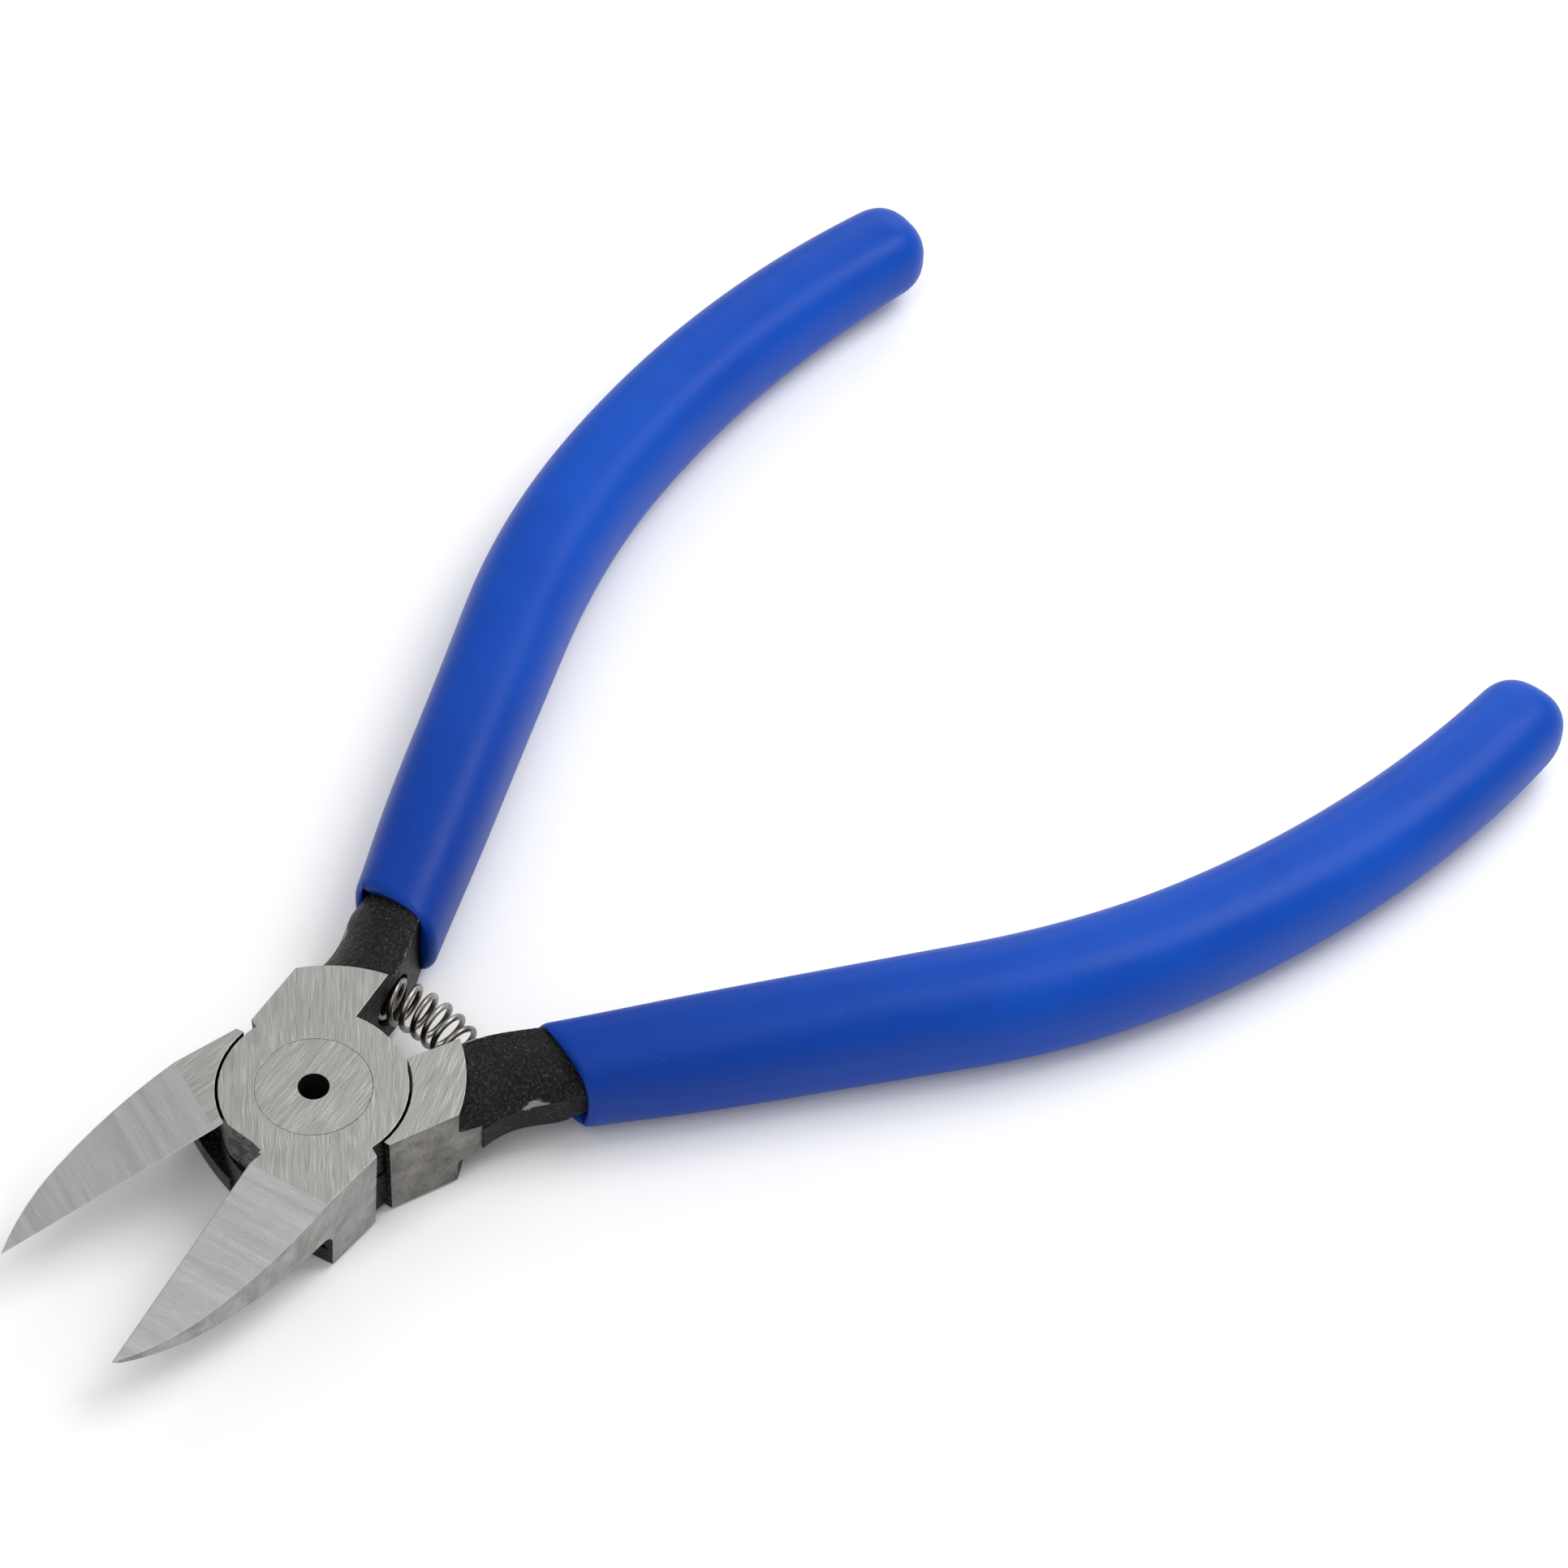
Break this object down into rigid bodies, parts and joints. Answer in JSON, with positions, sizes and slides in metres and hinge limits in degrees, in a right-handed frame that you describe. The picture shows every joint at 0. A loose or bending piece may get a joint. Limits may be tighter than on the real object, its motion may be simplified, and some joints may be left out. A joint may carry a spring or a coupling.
{
  "type": "diagonal cutting pliers",
  "caption": "Diagonal cutting pliers with two lapped levers on a hollow rivet, flush sloping blades, a coil return spring and dipped grips.",
  "frame": {"origin": "pivot axis at half the head's thickness", "axes": "+X from the pivot to the jaw tips midway between the jaws, +Z along the pivot axis up through the face the blades are flush with, +Y to the side of the upper lever's jaw"},
  "size_m": [0.156, 0.102, 0.0116],
  "materials": {
    "lever_steel": "ground bright on the head, black oxide elsewhere",
    "rivet_steel": "ground flush with the head",
    "spring_steel": "bright drawn wire",
    "grip_vinyl": "satin blue dipped vinyl"
  },
  "bodies": {
    "lower_half": {"lower_lever": "lever_steel", "lower_grip": "grip_vinyl", "pivot_rivet": "rivet_steel", "return_spring": "spring_steel"},
    "upper_half": {"upper_lever": "lever_steel", "upper_grip": "grip_vinyl"}
  },
  "joints": [
    {"name": "pivot", "type": "hinge", "parent": "lower_half", "child": "upper_half", "pos_m": [0, 0, 0], "axis": [0, 0, 1], "range_deg": [-28.4, 8], "stiffness_Nm_per_rad": 0.5, "deforming": ["return_spring"]}
  ]
}
